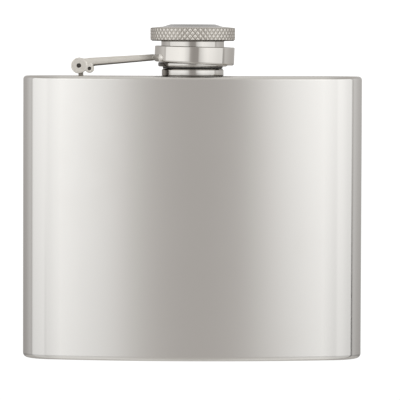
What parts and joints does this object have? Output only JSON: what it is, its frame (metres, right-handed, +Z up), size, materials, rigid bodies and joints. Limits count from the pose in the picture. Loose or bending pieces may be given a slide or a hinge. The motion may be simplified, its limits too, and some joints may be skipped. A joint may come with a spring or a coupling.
{
  "type": "hip flask",
  "caption": "Curved pocket flask of polished steel with a knurled screw cap held captive in the collar of a hinged lever.",
  "frame": {"origin": "middle of the base plate's flat underside, on the body's own centre lines", "axes": "+Z up through the neck, +X across the width away from the lever's hinge, -Y out of the convex face and +Y out of the hollow face"},
  "size_m": [0.095, 0.0261, 0.0935],
  "materials": {
    "mirror_steel": "stainless steel polished to a mirror",
    "turned_steel": "turned stainless steel, polished",
    "cast_nickel": "cast steel with a soft nickel sheen",
    "knurled_steel": "turned steel with a fine diamond knurl",
    "dark_steel": "dull dark pin steel",
    "silicone": "matt translucent white silicone"
  },
  "bodies": {
    "flask": {"body_wrap": "mirror_steel", "base_plate": "mirror_steel", "shoulder_plate": "mirror_steel", "neck_ring": "turned_steel", "neck_spout": "turned_steel", "hinge_post": "cast_nickel", "hinge_pin": "dark_steel"},
    "lever": {"lever_arm": "cast_nickel", "fork_rivet": "dark_steel", "collar_ring": "turned_steel"},
    "seal": {"cap_gasket": "silicone"},
    "cap": {"cap_head": "knurled_steel", "cap_sleeve": "turned_steel", "cap_retaining_ring": "turned_steel"}
  },
  "joints": [
    {"name": "lever_swing", "type": "hinge", "parent": "flask", "child": "lever", "pos_m": [-0.0317, -0.00225, 0.08195], "axis": [0, -1, 0], "range_deg": [0, 170]},
    {"name": "cap_lift", "type": "slide", "parent": "lever", "child": "seal", "axis": [0, 0, 1], "range_m": [0, 0.0032]},
    {"name": "cap_turn", "type": "hinge", "parent": "seal", "child": "cap", "pos_m": [0, -0.00225, 0.0889], "axis": [0, 0, 1], "range_deg": [0, 720]}
  ],
  "couplings": [
    {"joint": "cap_turn", "follows": "cap_lift", "rad_per_m": 3927}
  ]
}
